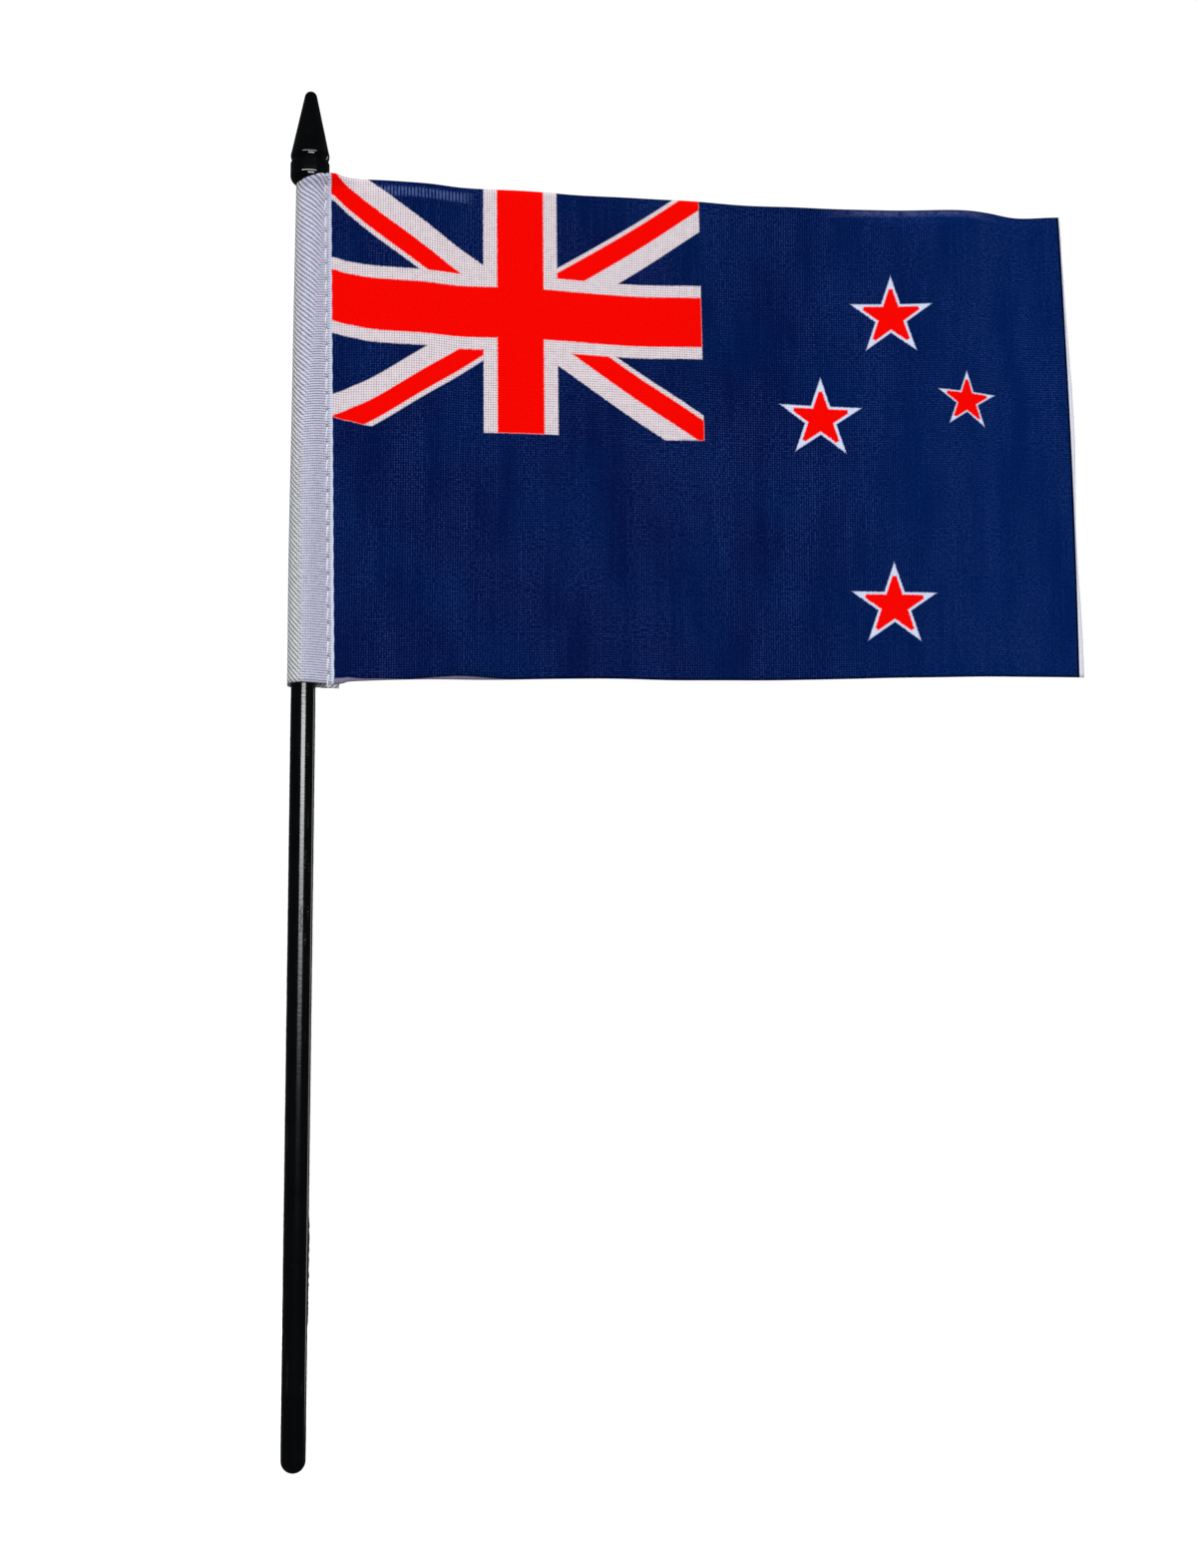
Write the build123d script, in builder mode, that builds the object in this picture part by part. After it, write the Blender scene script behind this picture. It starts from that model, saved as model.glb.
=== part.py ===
"""Small hand and desk flag: moulded staff, pull-off spear finial and a sewn cloth flag on a pole sleeve.

Millimetres. The origin is on the staff's axis where its round foot meets the straight stretch.
+Z runs up the staff, +X points from the staff towards the fly, and the printed side faces -Y.
"""
import os
from math import cos, radians, sin, tan

from build123d import *

os.makedirs("parts", exist_ok=True)

# Staff: a parallel lower stretch that a base's socket takes, then a light mould draft to its top end
staff_r = 2.4
staff_top_r = 2.36
straight_len = 142.0
seat_z = 250.0           # underside of the finial's collar
spigot_len = 8.2         # top end of the staff, inside the finial
spigot_chamfer = 0.4

# Finial: a round-nosed spear over a bead, a turned groove and a collar with a rounded underside
finial_top_z = 269.3
nose_r = 1.25
cone_half_angle = 12.1
cone_base_z = 256.5
bead_r = 3.9
bead_z = 256.1
groove_r = 3.56
groove_z = 254.7
collar_low_z = 252.0
collar_mouth_r = 2.75
socket_r = 2.4
socket_depth = 8.6

# Cloth: one ply's thickness, and the clear gap between pieces that turn or slide past each other
ply = 0.4
gap = 0.3

# Pole sleeve: a cloth tube, snug under the finial and a little looser at its lower mouth
sleeve_top_z = seat_z - gap
sleeve_low_z = 148.7
sleeve_top_r = staff_r + gap
sleeve_low_r = sleeve_top_r + 0.3

# Flag: the printed panel beyond the sleeve, with its four corners as (distance along X, height)
root_x = sleeve_low_r + ply + gap
hoist_top = (4.4, 252.1)
hoist_low = (6.8, 149.0)
fly_top = (157.0, 251.1)
fly_low = (160.6, 153.5)
top_dip = 250.6          # lowest point of the top edge, halfway to the fly
print_margin = 1.6       # from the row of stitches to the print

# Soft upright waves in the panel, as (distance along X, displacement along Y)
flat_root = 9.0
waves = [(32.0, 1.6), (62.0, -1.2), (94.0, 1.8), (126.0, -0.8), (162.0, 1.4)]

# Seam: the folded-back ply behind the panel's root, sewn through both plies with one row of lockstitch
seam_x = hoist_low[0] - print_margin - 0.5
allowance_x = 7.3
stitch_pitch = 3.3
stitch_count = 31
thread_r = 0.16
crossing_r = 0.11        # the thread pulled thin where it goes through a needle hole


with BuildPart() as staff:
    with BuildSketch(Plane.XZ):
        with BuildLine():
            foot = CenterArc((0, 0), staff_r, -90, 90)
            straight = Line(foot @ 1, (staff_r, straight_len))
            draft = Line(straight @ 1, (staff_top_r, seat_z - 0.5))
            top_z = seat_z + spigot_len
            Polyline(
                draft @ 1,
                (staff_top_r, top_z - spigot_chamfer),
                (staff_top_r - spigot_chamfer, top_z),
                (0, top_z),
                foot @ 0,
            )
        make_face()
    revolve(axis=Axis.Z)
staff.part.label = "staff"
export_step(staff.part, "parts/staff.step")


with BuildPart() as finial:
    nose_z = finial_top_z - nose_r
    slope = tan(radians(cone_half_angle))
    tangent_r = nose_r * cos(radians(cone_half_angle))
    tangent_z = nose_z + nose_r * sin(radians(cone_half_angle))
    cone_base_r = tangent_r + (tangent_z - cone_base_z) * slope
    with BuildSketch(Plane.XZ):
        with BuildLine():
            nose = CenterArc((0, nose_z), nose_r, 90, cone_half_angle - 90)
            flank = Line(nose @ 1, (cone_base_r, cone_base_z))
            bead = ThreePointArc(flank @ 1, (bead_r - 0.04, bead_z), (groove_r, groove_z + 0.15))
            groove = Line(bead @ 1, (groove_r, groove_z - 0.1))
            lip = ThreePointArc(groove @ 1, (bead_r - 0.1, groove_z - 0.28), (bead_r, groove_z - 0.6))
            collar = Line(lip @ 1, (bead_r, collar_low_z))
            under = ThreePointArc(collar @ 1, (bead_r - 0.32, seat_z + 0.72), (collar_mouth_r, seat_z))
            Polyline(under @ 1, (0, seat_z), nose @ 0)
        make_face()
    revolve(axis=Axis.Z)
    with Locations((0, 0, seat_z)):
        Cylinder(
            socket_r,
            socket_depth,
            align=(Align.CENTER, Align.CENTER, Align.MIN),
            mode=Mode.SUBTRACT,
        )
finial.part.label = "finial"
export_step(finial.part, "parts/finial.step")


with BuildPart() as pole_sleeve:
    with BuildSketch(Plane.XZ):
        with BuildLine():
            Polyline(
                (sleeve_low_r, sleeve_low_z),
                (sleeve_low_r + ply, sleeve_low_z),
                (sleeve_top_r + ply, sleeve_top_z),
                (sleeve_top_r, sleeve_top_z),
                close=True,
            )
        make_face()
    revolve(axis=Axis.Z)
pole_sleeve.part.label = "pole_sleeve"
export_step(pole_sleeve.part, "parts/pole_sleeve.step")


seam_len = (stitch_count - 1) * stitch_pitch
seam_mid_z = (sleeve_low_z + sleeve_top_z) / 2
# Each needle hole goes through both plies, a little wider than the thread
needle_holes = [
    (seam_x, seam_mid_z + (i - (stitch_count - 1) / 2) * stitch_pitch) for i in range(stitch_count)
]
hole_r = crossing_r + 0.06

with BuildPart() as flag_panel:
    # The cloth seen from above: a flat root along the X axis, then the waves
    with BuildSketch(Plane.XY.offset(sleeve_low_z - 1)):
        with BuildLine():
            for face_y in (-ply / 2, ply / 2):
                root = Line((root_x, face_y), (flat_root, face_y))
                Spline(root @ 1, *[(x, y + face_y) for x, y in waves], tangents=[(1, 0), (1, 0.1)])
            for x, y in ((root_x, 0), waves[-1]):
                Line((x, y - ply / 2), (x, y + ply / 2))
        make_face()
    extrude(amount=hoist_top[1] - sleeve_low_z + 2)
    # The cut outline of the cloth, seen from the printed side
    with BuildSketch(Plane.XZ):
        with BuildLine():
            top_mid = ((hoist_top[0] + fly_top[0]) / 2, top_dip)
            top_edge = ThreePointArc(hoist_top, top_mid, fly_top)
            fly_edge = Line(top_edge @ 1, fly_low)
            low_edge = Line(fly_edge @ 1, hoist_low)
            Polyline(
                low_edge @ 1,
                (root_x, sleeve_low_z + 0.3),
                (root_x, sleeve_top_z - 0.8),
                (root_x + 0.65, sleeve_top_z),
                hoist_top,
            )
        make_face()
    extrude(amount=20, both=True, mode=Mode.INTERSECT)
    with BuildSketch(Plane.XZ):
        with Locations(*needle_holes):
            Circle(hole_r)
    extrude(amount=ply, both=True, mode=Mode.SUBTRACT)
flag_panel.part.label = "flag_panel"
export_step(flag_panel.part, "parts/flag_panel.step")


with BuildPart() as seam_allowance:
    with BuildSketch(Plane.XZ.offset(-ply / 2)):
        with BuildLine():
            Polyline(
                (root_x, sleeve_low_z),
                (allowance_x, sleeve_low_z - 0.3),
                (allowance_x - 1.4, sleeve_top_z),
                (root_x + 0.65, sleeve_top_z),
                (root_x, sleeve_top_z - 0.8),
                close=True,
            )
        make_face()
        with Locations(*needle_holes):
            Circle(hole_r, mode=Mode.SUBTRACT)
    extrude(amount=-ply)
seam_allowance.part.label = "seam_allowance"
export_step(seam_allowance.part, "parts/seam_allowance.step")


# The two threads of the lockstitch, front and back, which meet in every needle hole
with BuildPart() as sleeve_stitching:
    front_y = -ply / 2 - thread_r
    back_y = ply * 1.5 + thread_r
    for y in (front_y, back_y):
        with BuildSketch(Plane.XY.offset(seam_mid_z - seam_len / 2 - thread_r)):
            with Locations((seam_x, y)):
                Circle(thread_r)
        extrude(amount=seam_len + 2 * thread_r)
    with BuildSketch(Plane.XZ.offset(-back_y)):
        with Locations(*needle_holes):
            Circle(crossing_r)
    extrude(amount=back_y - front_y)
sleeve_stitching.part.label = "sleeve_stitching"
export_step(sleeve_stitching.part, "parts/sleeve_stitching.step")
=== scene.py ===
"""Looks for the hand flag: a printed cloth sheet sewn round a glossy staff, on a pale sweep."""
import random
from math import acos, atan2, cos, exp, hypot, pi, radians, sin, sqrt

import bpy
from mathutils import Matrix, Vector


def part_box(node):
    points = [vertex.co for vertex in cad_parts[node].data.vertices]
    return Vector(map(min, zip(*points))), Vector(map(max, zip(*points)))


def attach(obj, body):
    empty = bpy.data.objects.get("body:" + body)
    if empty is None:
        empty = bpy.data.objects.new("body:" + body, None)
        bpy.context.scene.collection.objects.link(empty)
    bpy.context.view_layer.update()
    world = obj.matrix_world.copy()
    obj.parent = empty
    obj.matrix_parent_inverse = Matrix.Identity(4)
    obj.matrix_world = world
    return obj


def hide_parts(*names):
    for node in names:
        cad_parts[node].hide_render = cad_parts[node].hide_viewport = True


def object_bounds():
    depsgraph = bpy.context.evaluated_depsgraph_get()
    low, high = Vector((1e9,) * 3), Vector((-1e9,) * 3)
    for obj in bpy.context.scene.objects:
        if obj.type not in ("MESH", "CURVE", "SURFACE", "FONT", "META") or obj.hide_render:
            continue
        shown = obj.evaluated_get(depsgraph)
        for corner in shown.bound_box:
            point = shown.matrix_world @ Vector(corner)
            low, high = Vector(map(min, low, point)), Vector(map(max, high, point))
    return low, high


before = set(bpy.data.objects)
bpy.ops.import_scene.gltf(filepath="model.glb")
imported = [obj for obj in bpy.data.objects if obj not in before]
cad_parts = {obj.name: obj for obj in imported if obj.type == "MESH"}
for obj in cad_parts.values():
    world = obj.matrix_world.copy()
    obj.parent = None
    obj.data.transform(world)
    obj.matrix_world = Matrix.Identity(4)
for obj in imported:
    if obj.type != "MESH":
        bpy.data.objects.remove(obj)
cad_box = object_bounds()
rng = random.Random(7)

MM = 0.001


# ---------------------------------------------------------------- sizes, in mm, from the frame

def box_mm(node):
    """A CAD node's box at rest, in mm."""
    low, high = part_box(node)
    return Vector(low) / MM, Vector(high) / MM


staff_low, staff_high = box_mm("staff")
finial_low, finial_high = box_mm("finial")
panel_low, panel_high = box_mm("flag_panel")
sleeve_low, sleeve_high = box_mm("pole_sleeve")
stitch_low, stitch_high = box_mm("sleeve_stitching")
staff_r = staff_high.x
collar_r = finial_high.x
collar_z = finial_low.z             # the collar's lowest point
COLLAR_MOUTH_R = 2.75               # where the collar's rounded underside starts
COLLAR_ROUND_H = 2.0                # height of that rounding

# The cloth's own grid: u runs along the fly from the head of the hoist, v runs up from the foot
PRINT_H = 101.6
PRINT_RUN = 155.0                   # the print's fly edge at its foot
PRINT_TAPER = 3.0                   # how much nearer that edge is at its head
PLY = 0.22                          # thickness of the woven cloth
LEAN = 1.8                          # how much further out the print starts at the foot of the hoist
PANEL_RUN = 156.4                   # from there to the cut edge at the fly, at its furthest
hoist_x = panel_high.x - PANEL_RUN  # where u is 0, along X
hoist_z = sleeve_high.z + 2.1       # the head of the hoist
foot_z = sleeve_low.z + 0.1         # the foot of the hoist
seam_foot_z = foot_z + 0.2          # the lowest point of the seam
seam_rise = (hoist_z + 0.1 - seam_foot_z) / PRINT_H     # rise along the seam for each mm of v

# The sheet round the staff
SEAM_INSET = 1.1                    # from the print's hoist edge back to the stitches
ALLOWANCE = 2.1                     # cloth folded back behind the panel, past the stitches
PITCH = 3.3                         # from one stitch to the next
STITCH_COUNT = round((stitch_high.z - stitch_low.z) / PITCH) + 1
first_stitch_z = (stitch_high.z + stitch_low.z) / 2 - (STITCH_COUNT - 1) * PITCH / 2


def smooth(x, low=0.0, high=1.0):
    """0 below low, 1 above high, and smooth between."""
    t = min(1.0, max(0.0, (x - low) / (high - low)))
    return t * t * (3 - 2 * t)


def bell(x, centre, width):
    """1 at the centre, falling to 0 a few widths away."""
    return exp(-((x - centre) / width) ** 2)


def follow(x, knots):
    """A smooth curve through (place, value) knots, flat beyond its ends."""
    if x <= knots[0][0]:
        return knots[0][1]
    if x >= knots[-1][0]:
        return knots[-1][1]
    i = next(n for n in range(1, len(knots)) if x <= knots[n][0])
    (a, va), (b, vb) = knots[i - 1], knots[i]

    def slope(n):
        if n in (0, len(knots) - 1):
            return 0.0
        return (knots[n + 1][1] - knots[n - 1][1]) / (knots[n + 1][0] - knots[n - 1][0])

    t, h = (x - a) / (b - a), b - a
    bend_in = slope(i - 1) * h * (t - 2 * t**2 + t**3)
    bend_out = slope(i) * h * (t**3 - t**2)
    return va + (vb - va) * (3 * t**2 - 2 * t**3) + bend_in + bend_out


# ---------------------------------------------------------------- node arithmetic for materials

class Field:
    """A number at every point of a surface: a node socket that takes part in sums."""

    def __init__(self, tree, socket):
        self.tree = tree
        self.socket = socket

    def op(self, name, *others, clamp=False):
        node = self.tree.nodes.new("ShaderNodeMath")
        node.operation = name
        node.use_clamp = clamp
        for slot, value in zip(node.inputs, (self, *others)):
            if isinstance(value, Field):
                self.tree.links.new(value.socket, slot)
            else:
                slot.default_value = value
        return Field(self.tree, node.outputs[0])

    def __add__(self, other):
        return self.op("ADD", other)

    def __sub__(self, other):
        return self.op("SUBTRACT", other)

    def __mul__(self, other):
        return self.op("MULTIPLY", other)

    def __truediv__(self, other):
        return self.op("DIVIDE", other)

    def __neg__(self):
        return self.op("MULTIPLY", -1.0)

    def __invert__(self):
        """The opposite of a mask."""
        return -self + 1.0

    def __and__(self, other):
        return self.op("MINIMUM", other)

    def __or__(self, other):
        return self.op("MAXIMUM", other)

    def above(self, edge, soft):
        """A mask: 1 where the field is above the edge, blurred over the width soft."""
        return ((self - edge) / soft).op("ADD", 0.5, clamp=True)

    def between(self, low, high, soft):
        """A mask: 1 from low to high, blurred alike."""
        return self.above(low, soft) & ~self.above(high, soft)

    def bell(self, centre, width):
        """1 at the centre, falling to 0 a few widths away."""
        near = (self - centre) / width
        return (-(near * near)).op("EXPONENT")

    def ridge(self, pitch):
        """0 at each multiple of the pitch and 1 halfway between."""
        return (self * (pi / pitch)).op("SINE").op("ABSOLUTE")


def new_material(name):
    """An empty node material, its tree and its Principled shader."""
    material = bpy.data.materials.new(name)
    material.use_nodes = True
    tree = material.node_tree
    return material, tree, tree.nodes["Principled BSDF"]


def noise(tree, scale, detail=2.0, vector=None):
    """Noise from 0 to 1, in object space unless given coordinates; scale is in waves a unit."""
    node = tree.nodes.new("ShaderNodeTexNoise")
    node.inputs["Scale"].default_value = scale
    node.inputs["Detail"].default_value = detail
    if vector is None:
        vector = tree.nodes.new("ShaderNodeTexCoord").outputs["Object"]
    tree.links.new(vector, node.inputs["Vector"])
    return Field(tree, node.outputs["Fac"])


def stretched(tree, socket, scale):
    """Coordinates scaled by a different amount along each axis."""
    node = tree.nodes.new("ShaderNodeMapping")
    node.inputs["Scale"].default_value = scale
    tree.links.new(socket, node.inputs["Vector"])
    return node.outputs["Vector"]


def mix(tree, factor, a, b):
    """Colour a where factor is 0 and b where it is 1."""
    node = tree.nodes.new("ShaderNodeMix")
    node.data_type = "RGBA"
    tree.links.new(factor.socket, node.inputs["Factor"])
    for slot, colour in ((node.inputs["A"], a), (node.inputs["B"], b)):
        if isinstance(colour, bpy.types.NodeSocket):
            tree.links.new(colour, slot)
        else:
            slot.default_value = (*colour, 1.0)
    return node.outputs["Result"]


def bump(tree, shader, height, distance, strength=1.0):
    """Adds relief of that many metres under the shader."""
    node = tree.nodes.new("ShaderNodeBump")
    node.inputs["Distance"].default_value = distance
    node.inputs["Strength"].default_value = strength
    tree.links.new(height.socket, node.inputs["Height"])
    tree.links.new(node.outputs["Normal"], shader.inputs["Normal"])


def srgb(r, g, b):
    """A colour given as 0-255 screen values, as the shader's linear numbers."""
    def linear(c):
        c /= 255
        return c / 12.92 if c <= 0.04045 else ((c + 0.055) / 1.055) ** 2.4
    return linear(r), linear(g), linear(b)


NAVY = srgb(3, 17, 65)
NAVY_COOL = srgb(0, 26, 76)
NAVY_FLY = srgb(1, 28, 82)
NAVY_THREAD = srgb(44, 64, 126)
NAVY_SHEEN_HOIST = srgb(84, 104, 158)
NAVY_SHEEN_FLY = srgb(78, 86, 130)
NAVY_EDGE = srgb(2, 6, 26)
RED = srgb(250, 5, 1)
RED_GAP_SHADE = srgb(230, 12, 3)
PRINT_WHITE = srgb(232, 221, 227)
PRINT_WHITE_GAP_SHADE = srgb(164, 151, 158)
STAR_WHITE = srgb(206, 220, 250)
CLOTH_WHITE = srgb(214, 214, 236)
CLOTH_GAP_SHADE = srgb(112, 112, 132)
TURNED_SHADING_WHITE = srgb(230, 232, 236)
TURNED_GAP_SHADE = srgb(92, 96, 102)
HEM_WHITE = srgb(214, 226, 250)
SHADED_WHITE = srgb(130, 126, 152)
FLY_WHITE = srgb(226, 228, 240)

UV_SPAN = 200.0                     # mm of cloth across the "cloth" map's unit square
WEAVE = 0.5                         # from one thread to the next, mm


# ---------------------------------------------------------------- the printed design

def cloth_grid(tree):
    """The cloth's own coordinates u and v, in mm, and the map they come from."""
    uv = tree.nodes.new("ShaderNodeUVMap")
    uv.uv_map = "cloth"
    split = tree.nodes.new("ShaderNodeSeparateXYZ")
    tree.links.new(uv.outputs["UV"], split.inputs["Vector"])
    u = Field(tree, split.outputs["X"]) * UV_SPAN
    v = Field(tree, split.outputs["Y"]) * UV_SPAN
    return u, v, uv.outputs["UV"]


def weave_relief(u, v):
    """Height of a plain weave, 0 to 1: rounded knuckles that run up and across in turn."""
    across = u.ridge(WEAVE)
    along = v.ridge(WEAVE)
    up = across * along.op("POWER", 0.3)
    over = along * across.op("POWER", 0.3)
    turn = (u * (pi / WEAVE)).op("SINE") * (v * (pi / WEAVE)).op("SINE")
    which = turn.above(0.0, 0.2)
    return up * which + over * ~which


def star_reach(u, v, centre_u, centre_v, droop):
    """Distance from an upright star's centre, and how much of it is towards the nearest side."""
    du = u - centre_u
    dv = v - centre_v + du * droop
    reach = (du * du + dv * dv).op("SQRT")
    turn = du.op("ARCTAN2", dv).op("PINGPONG", pi / 5)
    return reach, reach * (turn - 2 * pi / 5).op("COSINE")


# For each star: centre u, centre v, white radius, red radius and how much it droops towards the fly
STARS = (
    (115.43, 77.76, 8.87, 6.12, 0.0),
    (100.58, 55.66, 8.77, 5.92, 0.06),
    (131.26, 59.52, 6.33, 4.58, 0.08),
    (115.48, 15.42, 9.14, 6.3, 0.035),
)
STAR_SIDE = cos(2 * pi / 5)
RED_SPREAD = 1.2                    # how far the red ink has run in the stars' inner corners

CANTON_U = 75.6
CANTON_V = 50.8
CROSS_U = 38.4                      # centre of the upright cross's vertical arm
CROSS_V = 75.9                      # and of its horizontal arm
CROSS_WHITE = (7.45, 7.8)           # half the width of each arm with its border
CROSS_RED = (4.7, 5.3)              # and without
CANTON_LEAN = 0.00027               # how far the canton leans, for each mm of u and of v
SALTIRE_SLOPE = 0.674
# For each arm of the saltire: right of the cross, above it, the white band and the red band
ARMS = (
    (False, True, (-4.76, 4.1), (-3.86, -0.05)),
    (True, False, (-4.4, 4.5), (-0.6, 3.6)),
    (True, True, (-3.45, 5.25), (-2.65, 1.4)),
    (False, False, (-3.4, 4.8), (0.2, 3.9)),
)


def design(u, v, soft):
    """Masks for the printed white and for the red, each as a Field from 0 to 1."""
    leaning_u = u + (v - 75.0) * u * CANTON_LEAN
    right = leaning_u.above(CROSS_U, 0.1)
    upper = v.above(CROSS_V, 0.1)
    level = 1 / sqrt(1 + SALTIRE_SLOPE**2)
    falling = (v - PRINT_H + leaning_u * SALTIRE_SLOPE) * level
    rising = (leaning_u * SALTIRE_SLOPE - (v - CANTON_V)) * level
    white = red = None
    for is_right, is_upper, white_band, red_band in ARMS:
        quarter = (right if is_right else ~right) & (upper if is_upper else ~upper)
        across = falling if is_right != is_upper else rising
        arm_white = across.between(*white_band, soft) & quarter
        arm_red = across.between(*red_band, soft) & quarter
        white = arm_white if white is None else white | arm_white
        red = arm_red if red is None else red | arm_red
    off_u = (leaning_u - CROSS_U).op("ABSOLUTE")
    off_v = (v - CROSS_V).op("ABSOLUTE")
    cross_white = ~off_u.above(CROSS_WHITE[0], soft) | ~off_v.above(CROSS_WHITE[1], soft)
    cross_red = ~off_u.above(CROSS_RED[0], soft) | ~off_v.above(CROSS_RED[1], soft)
    white = white | cross_white
    red = (red & ~cross_white) | cross_red
    canton = ~leaning_u.above(CANTON_U, soft) & v.above(CANTON_V, soft)
    white = white & canton
    red = red & canton
    for centre_u, centre_v, white_r, red_r, droop in STARS:
        reach, depth = star_reach(u, v, centre_u, centre_v, droop)
        white = white | ~depth.above(white_r * STAR_SIDE, soft)
        red = red | (~depth.above(red_r * RED_SPREAD * STAR_SIDE, soft) & ~reach.above(red_r, soft))
    return white, red


def navy_ink(tree, u, v, grid, relief, fine, uneven, upright):
    """The blue ground: threads that stand up catch less ink, in patches and streaks."""
    broad = noise(tree, 1.0, 3.0, stretched(tree, grid, (26.0, 7.0, 1.0)))
    level = noise(tree, 1.0, 2.0, stretched(tree, grid, (9.0, 330.0, 1.0)))
    streaks = (upright.above(0.56, 0.2) * 0.6) | (level.above(0.6, 0.2) * 0.45)
    patches = broad.above(0.5, 0.28)
    speck = (relief * uneven * 1.5).above(0.62, 0.3)
    bare = speck * ((patches * 0.55 + streaks * 0.5) + 0.12)
    cool = noise(tree, 9.0, 2.0, grid).above(0.52, 0.2)
    navy = mix(tree, u.above(112.0, 50.0), mix(tree, cool * 0.6, NAVY, NAVY_COOL), NAVY_FLY)
    navy = mix(tree, bare, navy, NAVY_THREAD)
    # Painted sheen: lighter strips along the head near the hoist, in dashes, and near the fly,
    # where the cloth curls back and catches the light
    dashes = (u.ridge(1.4 * WEAVE) * fine * 2.0).above(0.6, 0.5)
    hoist_sheen_strip = v.between(PRINT_H - 3.2, PRINT_H - 1.2, 0.6) & u.between(9.0, 27.5, 3.0)
    navy = mix(tree, hoist_sheen_strip * dashes * 0.55, navy, NAVY_SHEEN_HOIST)
    fly_sheen_strip = v.above(PRINT_H - 1.5, 1.0) & u.between(106.0, 135.0, 8.0)
    return mix(tree, fly_sheen_strip * fine.above(0.42, 0.4) * 0.5, navy, NAVY_SHEEN_FLY)


def bare_cloth(tree, u, v, relief, fine, uneven, beyond, at_hole):
    """The unprinted cloth: beyond is the distance from the print's hoist edge, less than 0 here."""
    run = v / PRINT_H
    # Painted shading: the side turned round the staff gets a more neutral tint than the lavender
    # front, with darker gaps
    shaded_left_side = ~beyond.above(-6.8, 1.8)
    # The weft shows as level ribs, and as slanting ones where it turns round the staff
    turned = ~(beyond - run.above(0.72, 0.6) * 6.8).above(-7.2, 1.6)
    level_ribs = v.ridge(WEAVE) * 0.75 + relief * 0.25
    slant_ribs = (u + v).ridge(2 * WEAVE) * 0.8 + relief * 0.2
    ribs = level_ribs * ~turned + slant_ribs * turned
    ribs = (ribs + (uneven - 0.5) * 0.4 + (fine - 0.5) * 0.3).above(0.55, 0.75)
    # Painted shade: the gaps between the ribs are darker
    gap_shade_colour = mix(tree, shaded_left_side, CLOTH_GAP_SHADE, TURNED_GAP_SHADE)
    rib_colour = mix(tree, shaded_left_side, CLOTH_WHITE, TURNED_SHADING_WHITE)
    colour = mix(tree, ribs, gap_shade_colour, rib_colour)
    hem = beyond.between(-0.5, 0.2, 0.2) * (run * -0.4 + 0.7)
    colour = mix(tree, hem, colour, HEM_WHITE)
    # Painted shadow: a darker spot at each needle hole
    hole_shadow = at_hole.above(0.8, 0.3) & beyond.between(-SEAM_INSET - 0.3, -SEAM_INSET + 0.25, 0.2)
    return mix(tree, hole_shadow * 0.55, colour, TURNED_GAP_SHADE)


def printed_cloth(name, ink, soft):
    """The woven cloth with its print: ink is 1 on the printed side, less where it shows through."""
    material, tree, shader = new_material(name)
    u, v, grid = cloth_grid(tree)
    run = v / PRINT_H
    fine = noise(tree, 160.0, 2.0, grid)        # waves of about 1.2 mm
    uneven = noise(tree, 420.0, 1.0, grid)      # thread by thread
    upright = noise(tree, 1.0, 2.0, stretched(tree, grid, (210.0, 9.0, 1.0)))
    relief = weave_relief(u, v)

    # The print was pulled up where the cloth was sewn, and its edges bleed along the threads
    pull = u.bell(0.0, 6.4) * (v * -0.0265 + 3.5)
    pull = pull - u.bell(20.0, 11.0) * 0.3 - u.bell(62.0, 15.0) * 0.75
    bleed = (uneven - 0.5) * 0.3
    white, red = design(u + bleed, v - pull + bleed, soft)

    navy = navy_ink(tree, u, v, grid, relief, fine, uneven, upright)
    # Painted shade: the white and the red are darker in the gaps between the threads
    knuckles = (relief * 0.8 + fine * 0.4).above(0.5, 0.5)
    white_colour = mix(tree, knuckles, PRINT_WHITE_GAP_SHADE, PRINT_WHITE)
    white_colour = mix(tree, u.above(82.0, 4.0) * 0.75, white_colour, STAR_WHITE)
    red_colour = mix(tree, relief.above(0.35, 0.4), RED_GAP_SHADE, RED)
    colour = mix(tree, white, navy, white_colour)
    colour = mix(tree, red, colour, red_colour)

    # The knife fused and darkened the cut edges; slivers along the foot took no ink and are painted
    # in shade
    fly_u = (run * pi).op("SINE") * 0.65 - run * PRINT_TAPER + PRINT_RUN
    low_margin = (u.bell(2.0, 3.6) * 1.1 + u.bell(9.0, 6.0) * 0.35) | (u.bell(27.0, 7.0) * 0.7)
    shaded_low_sliver = ~(v - low_margin).above(0.0, 0.2) & low_margin.above(0.12, 0.1)
    long_edges = v.above(PRINT_H - 0.3, 0.25) | ~v.above(low_margin + 0.35, 0.3)
    edge = (long_edges * 0.6) | (u - fly_u).between(-0.42, 0.0, 0.2)
    colour = mix(tree, edge & ~(red | white), colour, NAVY_EDGE)

    # The print ends at the needle holes' hem and at the fly margin
    stitch_turn = (v * (seam_rise / PITCH) + (seam_foot_z - first_stitch_z) / PITCH) * (2 * pi)
    at_hole = -stitch_turn.op("COSINE")
    beyond = u - (-run * LEAN + LEAN + at_hole * 0.04)
    cloth_colour = bare_cloth(tree, u, v, relief, fine, uneven, beyond, at_hole)
    cloth_colour = mix(tree, (u - fly_u).above(0.0, 0.1), cloth_colour, FLY_WHITE)
    printed = beyond.above(0.0, 0.15) & ~(u - fly_u).above(0.0, 0.15)
    colour = mix(tree, printed * ink, cloth_colour, colour)
    colour = mix(tree, printed & shaded_low_sliver, colour, SHADED_WHITE)
    tree.links.new(colour, shader.inputs["Base Color"])
    rough = ~(relief * 0.12) - 0.18
    tree.links.new(rough.socket, shader.inputs["Roughness"])
    shader.inputs["Specular IOR Level"].default_value = 0.0
    bump(tree, shader, relief + uneven * 0.5 + upright * 0.3, 0.00007, 0.7)
    return material


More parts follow.
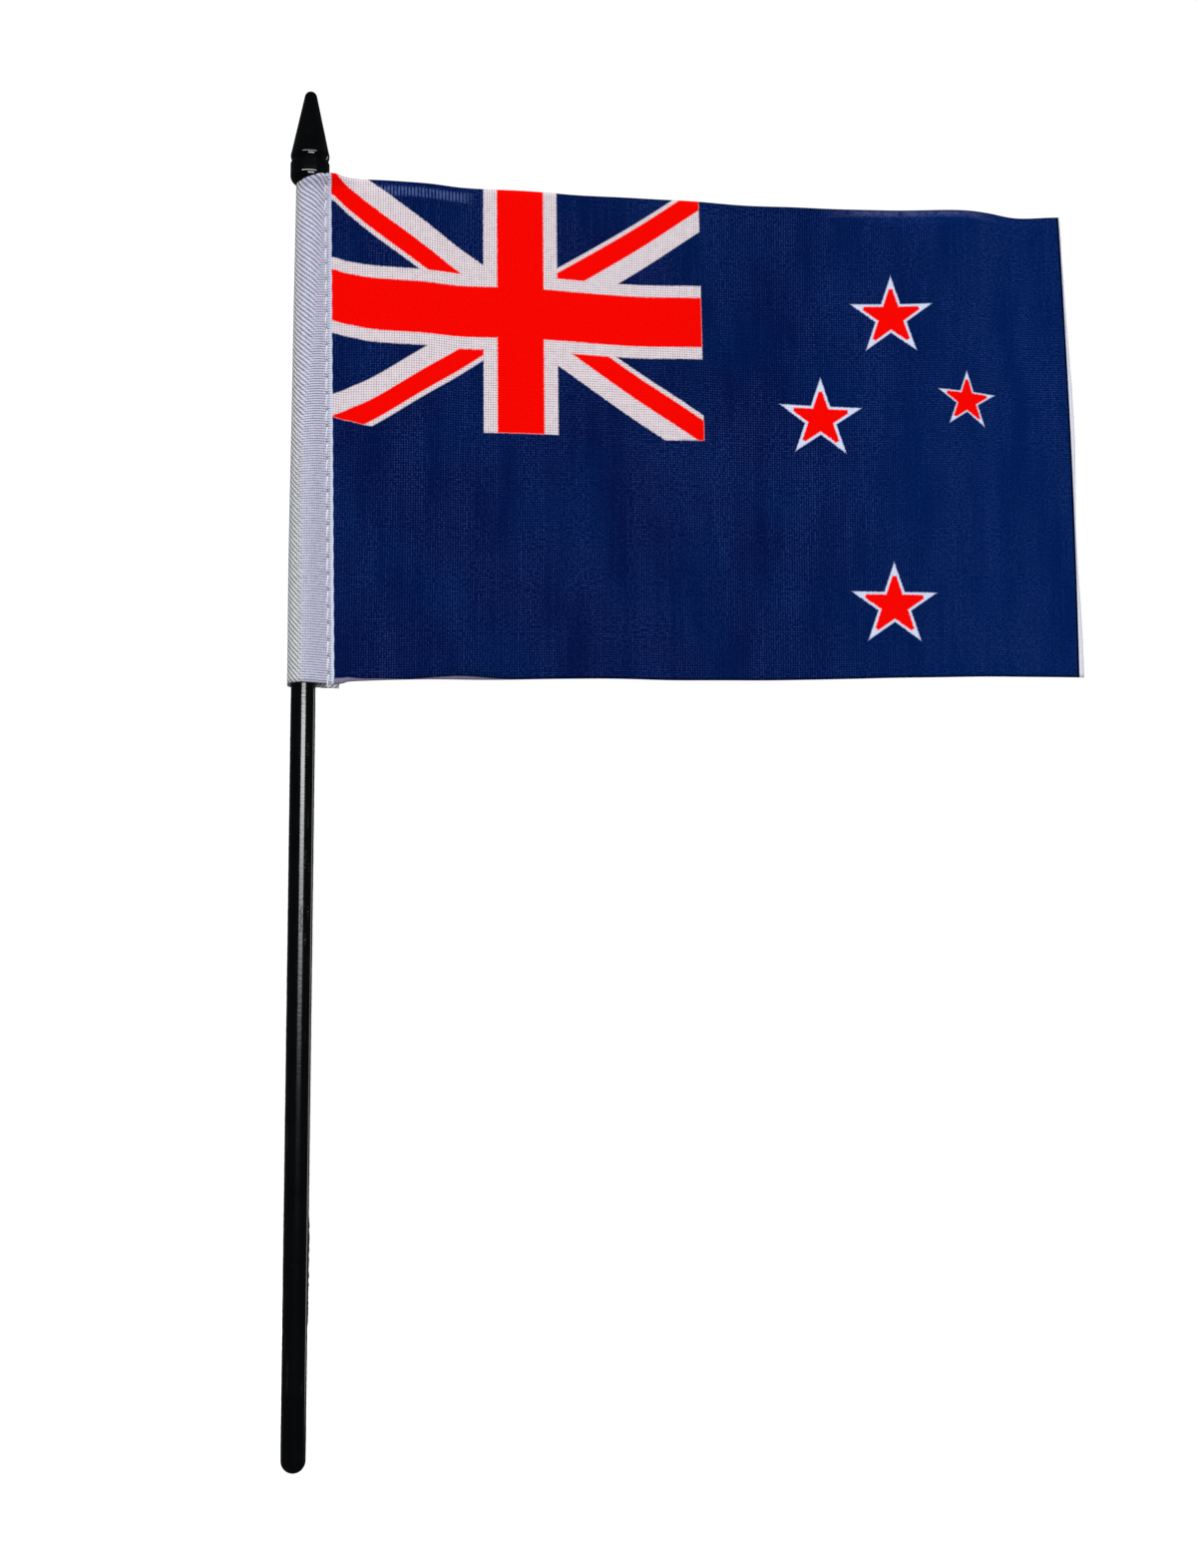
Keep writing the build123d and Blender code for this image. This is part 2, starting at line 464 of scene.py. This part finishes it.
def black_plastic(name, gloss, scuffs, dents):
    """Glossy black moulded plastic: scuffs are fine marks along it, and dents how uneven it is."""
    material, tree, shader = new_material(name)
    place = tree.nodes.new("ShaderNodeTexCoord").outputs["Object"]
    along = noise(tree, 1.0, 3.0, stretched(tree, place, (5200.0, 5200.0, 90.0)))
    rings = noise(tree, 1.0, 1.0, stretched(tree, place, (60.0, 60.0, 2300.0)))
    cloudy = noise(tree, 260.0, 3.0, place)
    dimples = noise(tree, 1.0, 1.0, stretched(tree, place, (900.0, 900.0, 1800.0)))
    scratch = along.above(0.7, 0.06) * cloudy.above(0.52, 0.15)
    colour = mix(tree, cloudy, srgb(1, 2, 3), srgb(5, 7, 9))
    colour = mix(tree, scratch * scuffs, colour, srgb(58, 62, 66))
    tree.links.new(colour, shader.inputs["Base Color"])
    rough = cloudy * 0.07 + scratch * (0.2 * scuffs) + gloss
    tree.links.new(rough.socket, shader.inputs["Roughness"])
    shader.inputs["Specular IOR Level"].default_value = 0.42
    relief = cloudy * 0.6 + rings * 0.35 + dimples * 0.7 - scratch * (0.3 * scuffs)
    bump(tree, shader, relief, 0.00003, dents)
    return material


def thread_material():
    """Twisted white polyester sewing thread."""
    material, tree, shader = new_material("sewing_thread")
    place = tree.nodes.new("ShaderNodeTexCoord").outputs["Object"]
    split = tree.nodes.new("ShaderNodeSeparateXYZ")
    tree.links.new(place, split.inputs["Vector"])
    twist = (Field(tree, split.outputs["Z"]) + Field(tree, split.outputs["X"]) * 0.8) / MM
    twist = twist.ridge(0.28)
    # Painted shade: the grooves between the twists are darker
    colour = mix(tree, twist, srgb(176, 178, 194), srgb(248, 249, 255))
    tree.links.new(colour, shader.inputs["Base Color"])
    rough = twist * -0.15 + 0.6
    tree.links.new(rough.socket, shader.inputs["Roughness"])
    shader.inputs["Sheen Weight"].default_value = 0.2
    bump(tree, shader, twist, 0.00004, 0.6)
    return material


def floor_material():
    """A pale, matt sweep with a faint tooth."""
    material, tree, shader = new_material("pale_floor")
    tooth = noise(tree, 900.0, 2.0)
    colour = mix(tree, tooth, srgb(246, 246, 246), srgb(252, 252, 252))
    tree.links.new(colour, shader.inputs["Base Color"])
    shader.inputs["Roughness"].default_value = 0.95
    shader.inputs["Specular IOR Level"].default_value = 0.1
    return material


# ---------------------------------------------------------------- the cloth sheet

def loop_radius(t):
    """Radius of the sleeve's round part at height t, 0 at the foot and 1 at the head."""
    return follow(t, [(0.0, 3.05), (0.25, 3.12), (0.5, 2.93), (0.75, 2.78), (1.0, 2.62)])


def seam_place(t):
    """Where the two plies meet, in plan."""
    return hoist_x + LEAN * (1 - t) - SEAM_INSET, -0.8 - 0.4 * t


CREASE = 0.16                       # how far the sleeve's pressed crease stands out
CREASE_TURN = 1.62                  # and how far it is round from the seam's front, in radians
PLY_GAP = 0.14                      # how much further back the rear ply is at the seam


def around(t, steps):
    """The sleeve in plan, from the back of the seam round the staff to its front: (x, y, turn)."""
    radius = loop_radius(t)
    seam_x, seam_y = seam_place(t)
    apart = hypot(seam_x, seam_y)
    towards = atan2(seam_y, seam_x)
    opening = acos(radius / apart)
    points = []
    for i in range(steps + 1):
        turn = 2 * pi * i / steps
        off = min(turn, 2 * pi - turn)
        reach = radius if off > opening else radius / cos(opening - off)
        angle = towards + turn
        reach += CREASE * bell(turn, 2 * pi - CREASE_TURN, 0.16) * smooth(1 - t, 0.0, 0.15)
        x, y = reach * cos(angle), reach * sin(angle)
        near_seam = bell(off, 0.0, 0.35)
        if turn < pi:
            y += PLY_GAP * near_seam
        points.append((x, y, turn))
    return points


# The panel's long edges, as (distance along X, height from the CAD panel's head or foot)
TOP_EDGE = [(2.0, -0.65), (4.6, -0.2), (5.4, -0.25), (6.8, -0.5), (8.2, -0.45), (9.8, -0.35),
            (18.0, 0.0), (24.0, 0.0), (31.0, -0.6), (46.0, -1.2), (57.0, -1.7), (66.0, -1.7),
            (79.0, -1.35), (96.0, -1.3), (114.0, -1.0), (133.0, -0.35), (141.0, -0.5),
            (147.5, -1.1), (157.0, -0.85)]
LOW_EDGE = [(4.0, 0.0), (7.3, 0.2), (9.0, 0.75), (18.7, 1.3), (30.6, 1.6), (58.0, 2.4),
            (75.0, 2.3), (99.0, 3.05), (126.0, 3.9), (160.0, 4.75)]
# How far the sleeve's upper edge stands above the collar's underside, as (turn from the back of the
# seam in half turns, height)
MOUTH = [(0.0, -0.12), (1.15, -0.12), (1.38, -0.1), (1.55, 0.25), (1.66, 0.6), (1.8, 1.05),
         (2.0, 1.45)]
# The waves at the head, the middle and the foot, as (distance along X, displacement along Y)
HEAD_WAVE = [(12.0, 0.0), (32.0, 0.9), (60.0, -0.9), (92.0, 1.2), (118.0, 0.2), (136.0, -0.9),
             (148.0, 0.9), (158.0, 0.2)]
MIDDLE_WAVE = [(12.0, 0.0), (34.0, 1.4), (62.0, -1.2), (94.0, 1.7), (126.0, -0.9), (158.0, 1.0)]
FOOT_WAVE = [(12.0, 0.0), (28.0, -0.9), (46.0, 0.8), (72.0, -0.6), (100.0, 1.0), (130.0, -1.0),
             (158.0, 0.6)]


def wave(x, t):
    """How far the panel stands off its plane."""
    head, middle, foot = (follow(x, knots) for knots in (HEAD_WAVE, MIDDLE_WAVE, FOOT_WAVE))
    low, high = (1 - t) ** 2, t**2
    between = 1 - low - high
    y = foot * low + middle * between + head * high
    ripple = 0.14 * sin(x / 4.7 + 2.4 * t) + 0.1 * sin(x / 2.9 - 5.0 * t + 1.0)
    y += ripple * smooth(x, 12.0, 30.0)
    # The head rolls back a little where the cloth has curled
    y += 1.5 * smooth(t, 0.965, 1.0) * bell(x, 128.0, 16.0)
    y += 0.9 * smooth(t, 0.97, 1.0) * bell(x, 21.0, 10.0)
    y += 0.8 * smooth(1 - t, 0.975, 1.0) * bell(x, 33.0, 9.0)
    return y


def fly_margin(t):
    """Bare cloth between the print and the cut edge at the fly."""
    return follow(t, [(0.0, 1.0), (0.1, 0.95), (0.3, 0.45), (0.55, 1.05), (0.8, 0.5), (1.0, 0.25)])


COLLAR_SPARE = 0.24                 # room between the sheet's middle and the collar


def clear_of_collar(x, y, z):
    """Moves a point of the sleeve's mouth outwards, clear of the collar's rounded underside."""
    rise = (z - collar_z) / COLLAR_ROUND_H
    if rise < -1.0:
        return x, y
    inside = max(0.0, 1 - min(1.0, rise))
    bulge = (collar_r - COLLAR_MOUTH_R) * sqrt(max(0.0, 1 - inside**2))
    needed = COLLAR_MOUTH_R + bulge + COLLAR_SPARE
    if rise < 0:
        needed = COLLAR_MOUTH_R + COLLAR_SPARE + 1.3 * rise
    # The larger of the two reaches, with the change from one to the other rounded off
    reach = hypot(x, y)
    wanted = (reach + needed + sqrt((reach - needed) ** 2 + 0.06)) / 2
    if wanted - reach < 0.005:
        return x, y
    side = x * (1 - smooth(x, 0.0, 1.5))
    length = hypot(side, y)
    side, ahead = side / length, y / length
    along = x * side + y * ahead
    step = sqrt(along**2 + wanted**2 - reach**2) - along
    return x + side * step, y + ahead * step


# The sheet's grid: columns across each stretch of it, and rows from its foot to its head
ALLOW_STEPS = 5
LOOP_STEPS = 72
HEM_STEPS = 4
PANEL_STEPS = 176
ROWS = 124
# How far the foot of the sleeve's front, of its back and of the allowance are from the hoist's foot
FRONT_UP = 0.35
BACK_DOWN = 0.1
FLAP_DOWN = 0.45


def sheet_row(t):
    """One row of the sheet from the free end of its allowance to the fly: (x, y, z, u) in mm."""
    seam_x, seam_y = seam_place(t)
    edge_x = hoist_x + LEAN * (1 - t)
    front_foot, back_foot, flap_foot = foot_z + FRONT_UP, foot_z - BACK_DOWN, foot_z - FLAP_DOWN
    row = []
    loop = around(t, LOOP_STEPS)
    start_x, start_y, _ = loop[0]
    # Seam allowance, behind the panel
    for i in range(ALLOW_STEPS):
        share = 1 - i / ALLOW_STEPS
        x = start_x + ALLOWANCE * share
        y = start_y + 0.1 * share + (0.8 - 0.2 * t) * smooth(share, 0.0, 2.2) + 0.06
        z = flap_foot + (collar_z + MOUTH[0][1] - flap_foot) * t
        row.append([x, y, z])
    # Round the staff
    for x, y, turn in loop:
        low = flap_foot + (back_foot - flap_foot) * smooth(turn, 0.0, 0.7)
        low += (front_foot - back_foot) * smooth(turn, pi * 0.9, pi * 1.3)
        z = low + (collar_z + follow(turn / pi, MOUTH) - low) * t
        out_x, out_y = clear_of_collar(x, y, z)
        over = smooth(turn, pi * 1.2, pi * 1.4)
        row.append([x + (out_x - x) * over, y + (out_y - y) * over, z])
    # The hem between the stitches and the print, then the panel
    hem_y = row[-1][1]
    fly_x = hoist_x + PRINT_RUN - PRINT_TAPER * t + 0.45 * sin(pi * t) + fly_margin(t)
    for i in range(1, HEM_STEPS + PANEL_STEPS + 1):
        if i <= HEM_STEPS:
            x = seam_x + (edge_x - seam_x) * i / HEM_STEPS
        else:
            x = edge_x + (fly_x - edge_x) * (i - HEM_STEPS) / PANEL_STEPS
        settle = smooth(x, seam_x, seam_x + 7.5)
        y = hem_y * (1 - settle) + wave(x, t)
        low = panel_low.z + follow(x, LOW_EDGE)
        high = panel_high.z + follow(x, TOP_EDGE)
        z = low + (high - low) * t
        if x < collar_r + 1.0:
            x, y = clear_of_collar(x, y, z)
        row.append([x, y, z])
    # The needle pulls the cloth in at each stitch
    seam_at = ALLOW_STEPS + LOOP_STEPS
    for i in range(seam_at - 3, seam_at + 4):
        pull = bell(i, seam_at, 1.6) * 0.07
        row[i][1] -= pull * cos(2 * pi * (row[i][2] - first_stitch_z) / PITCH)
    # u: 0 at the head of the print's hoist edge, measured along the cloth before it
    edge_at = seam_at + HEM_STEPS
    run = edge_x - hoist_x
    for i in range(edge_at, -1, -1):
        if i < edge_at:
            a, b = row[i], row[i + 1]
            run -= hypot(a[0] - b[0], a[1] - b[1])
        row[i].append(run)
    for place in row[edge_at + 1:]:
        place.append(place[0] - hoist_x)
    return row


def mesh_object(name, points, faces, materials):
    """A mesh object from points in mm."""
    mesh = bpy.data.meshes.new(name)
    mesh.from_pydata([Vector(p) * MM for p in points], [], faces)
    mesh.update()
    for material in materials:
        mesh.materials.append(material)
    shape = bpy.data.objects.new(name, mesh)
    bpy.context.scene.collection.objects.link(shape)
    return shape


def flag_cloth(front, back):
    """The whole cloth as one thin sheet: allowance, sleeve and panel."""
    rows = [sheet_row(i / ROWS) for i in range(ROWS + 1)]
    width = len(rows[0])
    points = [place[:3] for row in rows for place in row]
    faces = []
    for j in range(ROWS):
        for i in range(width - 1):
            a = j * width + i
            faces.append((a, a + 1, a + width + 1, a + width))
    cloth = mesh_object("flag_cloth", points, faces, [front, back])
    layer = cloth.data.uv_layers.new(name="cloth")
    for loop in cloth.data.loops:
        j, i = divmod(loop.vertex_index, width)
        layer.data[loop.index].uv = (rows[j][i][3] / UV_SPAN, j / ROWS * PRINT_H / UV_SPAN)
    for face in cloth.data.polygons:
        face.use_smooth = True
    skin = cloth.modifiers.new("ply", "SOLIDIFY")
    skin.thickness = PLY * MM
    skin.offset = 0.0
    skin.use_even_offset = True
    skin.material_offset = 1
    return cloth, rows


# ---------------------------------------------------------------- stitches

def add_tube(points, faces, path, radii, sides=8):
    """Adds a closed tube along a path, in mm, to a mesh's points and faces."""
    first = len(points)
    for i, centre in enumerate(path):
        ahead = path[min(i + 1, len(path) - 1)] - path[max(i - 1, 0)]
        turn = ahead.to_track_quat("Z", "Y")
        for k in range(sides):
            angle = 2 * pi * k / sides
            points.append(centre + turn @ Vector((cos(angle), sin(angle), 0)) * radii[i])
    for i in range(len(path) - 1):
        ring = first + i * sides
        for k in range(sides):
            a, b = ring + k, ring + (k + 1) % sides
            faces.append((a, b, b + sides, a + sides))
    faces.append(tuple(reversed(range(first, first + sides))))
    last = first + (len(path) - 1) * sides
    faces.append(tuple(range(last, last + sides)))


def smooth_sides(shape):
    """Smooth shading on a shape's four-sided faces, and flat ends."""
    for face in shape.data.polygons:
        face.use_smooth = len(face.vertices) == 4


THREAD_R = 0.17
THREAD_END_R = 0.1                  # where the thread dives into its needle hole


def stitches(rows, material):
    """One row of lockstitch: for every stitch, a slanted thread loop on each side of the cloth."""
    seam_at = ALLOW_STEPS + LOOP_STEPS
    points, faces = [], []
    for k in range(STITCH_COUNT):
        slant = 0.16 + rng.uniform(-0.05, 0.05)
        for side in (-1, 1):
            path = []
            reach = PITCH * (0.41 + rng.uniform(-0.02, 0.02))
            for n in range(9):
                s = n / 8 * 2 - 1
                z = first_stitch_z + k * PITCH + s * reach
                t = (z - foot_z) / (hoist_z - foot_z)
                place = rows[min(ROWS, max(0, round(t * ROWS)))][seam_at]
                lift = PLY / 2 + THREAD_R * (1 - s**4) - THREAD_END_R
                if side > 0:
                    lift += PLY + 0.04
                x = place[0] - 0.12 + slant * s * -side
                path.append(Vector((x, place[1] + side * lift, z)))
            add_tube(points, faces, path, [THREAD_END_R] + [THREAD_R] * 7 + [THREAD_END_R])
    made = mesh_object("sleeve_stitches", points, faces, [material])
    smooth_sides(made)
    return made


# ---------------------------------------------------------------- the staff's moulding marks

bare_high = sleeve_low.z - 1.7      # up to where the staff is bare
# Where the mould's halves met: degrees round the staff, lower and upper end, width and height
MOULD_LINES = (
    (-4, 0.0, bare_high, 0.4, 0.04),
    (176, 0.0, bare_high, 0.4, 0.04),
    (-4, 24.0, 47.0, 0.5, 0.2),     # a patch of flash
)
MARK_STEP = 0.5                     # along a mould line, from one ring of points to the next
SUNK = 0.03                         # how deep a mould line's edges are in the staff


def mould_line(name, angle, low, high, width, height, material):
    """An uneven raised line along the staff."""
    points, faces = [], []
    steps = round((high - low) / MARK_STEP)
    across = (-1.0, -0.45, 0.0, 0.45, 1.0)
    wander = 0.0
    for i in range(steps + 1):
        z = low + (high - low) * i / steps
        ends = smooth(i, 0, 6) * smooth(steps - i, 0, 6)
        wander = 0.85 * wander + rng.uniform(-0.012, 0.012)
        tall = height * ends * (0.45 + 0.75 * rng.random())
        for s in across:
            turn = radians(angle) + wander + s * width / 2 / staff_r
            reach = staff_r - SUNK + (tall + SUNK) * (1 - s * s)
            points.append((reach * cos(turn), reach * sin(turn), z))
    n = len(across)
    for i in range(steps):
        for k in range(n - 1):
            a = i * n + k
            faces.append((a, a + 1, a + n + 1, a + n))
        a = i * n
        faces.append((a, a + n, a + 2 * n - 1, a + n - 1))
    faces.append(tuple(range(n)))
    faces.append(tuple(reversed(range(steps * n, steps * n + n))))
    line = mesh_object(name, points, faces, [material])
    smooth_sides(line)
    return line


# Where the plastic flowed unevenly: degrees round the staff, height of the middle, length
FLOW_MARKS = (
    (-65, 136.0, 2.6),
    (-69, 114.5, 3.8),
    (-50, 113.0, 1.6),
    (-53, 104.5, 2.2),
    (-87, 103.0, 5.0),
    (-66, 99.0, 2.4),
)
FLOW_R = 0.1                        # half of a flow mark's width
FLOW_END_R = 0.03


def flow_marks(material):
    """Hair-thin raised squiggles on the front of the staff."""
    points, faces = [], []
    steps = 18
    for angle, middle, length in FLOW_MARKS:
        bends = rng.uniform(5.0, 9.0)
        path = []
        for n in range(steps + 1):
            s = n / steps - 0.5
            turn = radians(angle) + 0.06 * sin(bends * 2 * s) + rng.uniform(-0.012, 0.012)
            path.append(Vector((staff_r * cos(turn), staff_r * sin(turn), middle + s * length)))
        radii = [FLOW_END_R] + [FLOW_R] * (steps - 1) + [FLOW_END_R]
        add_tube(points, faces, path, radii, sides=6)
    marks = mesh_object("flow_marks", points, faces, [material])
    smooth_sides(marks)
    return marks


# ---------------------------------------------------------------- light, floor and camera

def softbox(name, place, target, size_x, size_z, radiance, glosses=True):
    """A rectangular light, placed and aimed in mm, that either glosses surfaces or fills them."""
    light = bpy.data.lights.new(name, "AREA")
    light.shape = "RECTANGLE"
    light.size, light.size_y = size_x * MM, size_z * MM
    light.energy = radiance * pi * light.size * light.size_y
    lamp = bpy.data.objects.new(name, light)
    lamp.location = Vector(place) * MM
    lamp.rotation_euler = (Vector(place) - Vector(target)).to_track_quat("Z", "Y").to_euler()
    lamp.visible_glossy = glosses
    lamp.visible_diffuse = not glosses
    lamp.visible_camera = False
    bpy.context.scene.collection.objects.link(lamp)


def studio():
    """Softboxes that gloss the plastic, soft light on the cloth, and a pale surround."""
    away = 470                      # from the staff to the boxes that gloss its front, mm
    brightest = 24.0
    # A tall box in front of the staff, brighter towards its top, in bands
    bands, low, high = 8, 46.0, 214.0
    step = (high - low) / bands
    for n in range(bands):
        middle = low + (n + 0.5) * step
        radiance = brightest * ((n + 0.5) / bands) ** 1.4
        softbox(f"front_softbox_{n + 1}", (45, -away, middle), (0, 0, middle), 300, step, radiance)
    # An arc of boxes at one height, which the finial's rings catch and its upright sides don't
    for n in range(5):
        angle = radians(17 * (n - 2) - 5)
        place = (away * sin(angle), -away * cos(angle), 390)
        softbox(f"finial_softbox_{n + 1}", place, (0, 0, 250), 140, 30, brightest)
    # A narrow box behind to the right edges the staff, and two only fill the cloth
    softbox("side_softbox", (400, 260, 130), (0, 0, 130), 90, 420, 2.5)
    softbox("front_fill", (60, -600, 230), (60, 0, 200), 300, 300, 6.9, glosses=False)
    softbox("back_fill", (60, 600, 230), (60, 0, 200), 300, 300, 5.0, glosses=False)
    sun = bpy.data.lights.new("overhead_soft", "SUN")
    sun.energy = 2.6
    sun.angle = radians(90)
    lamp = bpy.data.objects.new("overhead_soft", sun)
    lamp.rotation_euler = (radians(12), radians(-6), 0)
    lamp.visible_glossy = False
    bpy.context.scene.collection.objects.link(lamp)

    world = bpy.data.worlds.new("surround")
    bpy.context.scene.world = world
    world.use_nodes = True
    tree = world.node_tree
    background = tree.nodes["Background"]
    background.inputs["Color"].default_value = (1, 1, 1, 1)
    ray = tree.nodes.new("ShaderNodeLightPath")
    seen = Field(tree, ray.outputs["Is Camera Ray"])
    glossy = Field(tree, ray.outputs["Is Glossy Ray"])
    # White where the camera sees it, a soft fill for the cloth, and nearly dark in the gloss
    strength = seen * 0.75 + glossy * -0.255 + 0.3
    tree.links.new(strength.socket, background.inputs["Strength"])


def floor(material):
    """A wide pale floor, well below the foot of the staff."""
    half, below = 6000.0, 45.0
    low = staff_low.z - below
    corners = [(-half, -half, low), (half, -half, low), (half, half, low), (-half, half, low)]
    plane = mesh_object("floor", corners, [(0, 1, 2, 3)], [material])
    plane.visible_glossy = False
    plane.visible_diffuse = False


def camera():
    """The photograph's viewpoint: a little left of square on, from just below the middle."""
    azimuth, elevation, roll = radians(-8.0), radians(-5.08), radians(0.068)
    distance = 437.6
    aim_left, aim_below = 19.75, 3.25           # from the middle of the CAD's box
    centre = (cad_box[0] + cad_box[1]) / 2 / MM
    target = Vector((centre.x - aim_left, 0.0, centre.z - aim_below))
    back = Vector((sin(azimuth) * cos(elevation), -cos(azimuth) * cos(elevation), sin(elevation)))
    data = bpy.data.cameras.new("camera")
    data.lens = 50.38
    data.sensor_width = 36.0
    data.clip_start = 0.01
    eye = bpy.data.objects.new("camera", data)
    eye.location = (target + back * distance) * MM
    tilt = Matrix.Rotation(roll, 3, "Z").to_quaternion()
    eye.rotation_mode = "QUATERNION"
    eye.rotation_quaternion = (-back).to_track_quat("-Z", "Y") @ tilt
    bpy.context.scene.collection.objects.link(eye)
    bpy.context.scene.camera = eye


# ---------------------------------------------------------------- put together

bpy.context.scene.view_settings.view_transform = "Standard"

staff_plastic = black_plastic("staff_plastic", 0.1, 0.8, 0.5)
finial_plastic = black_plastic("finial_plastic", 0.015, 0.3, 0.03)
front_cloth = printed_cloth("printed_cloth", 1.0, 0.3)
back_cloth = printed_cloth("cloth_back", 0.78, 0.6)

for node, material in (("staff", staff_plastic), ("finial", finial_plastic)):
    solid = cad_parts[node]
    if not solid.material_slots:
        solid.data.materials.append(None)
    for place in solid.material_slots:
        place.material = material

cloth, cloth_rows = flag_cloth(front_cloth, back_cloth)
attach(cloth, "flag")
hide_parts("pole_sleeve", "flag_panel", "seam_allowance")

sewing = stitches(cloth_rows, thread_material())
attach(sewing, "flag")
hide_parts("sleeve_stitching")

for number, place in enumerate(MOULD_LINES):
    line = mould_line(f"mould_line_{number + 1}", *place, staff_plastic)
    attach(line, "staff")

squiggles = flow_marks(staff_plastic)
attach(squiggles, "staff")

studio()
floor(floor_material())
camera()
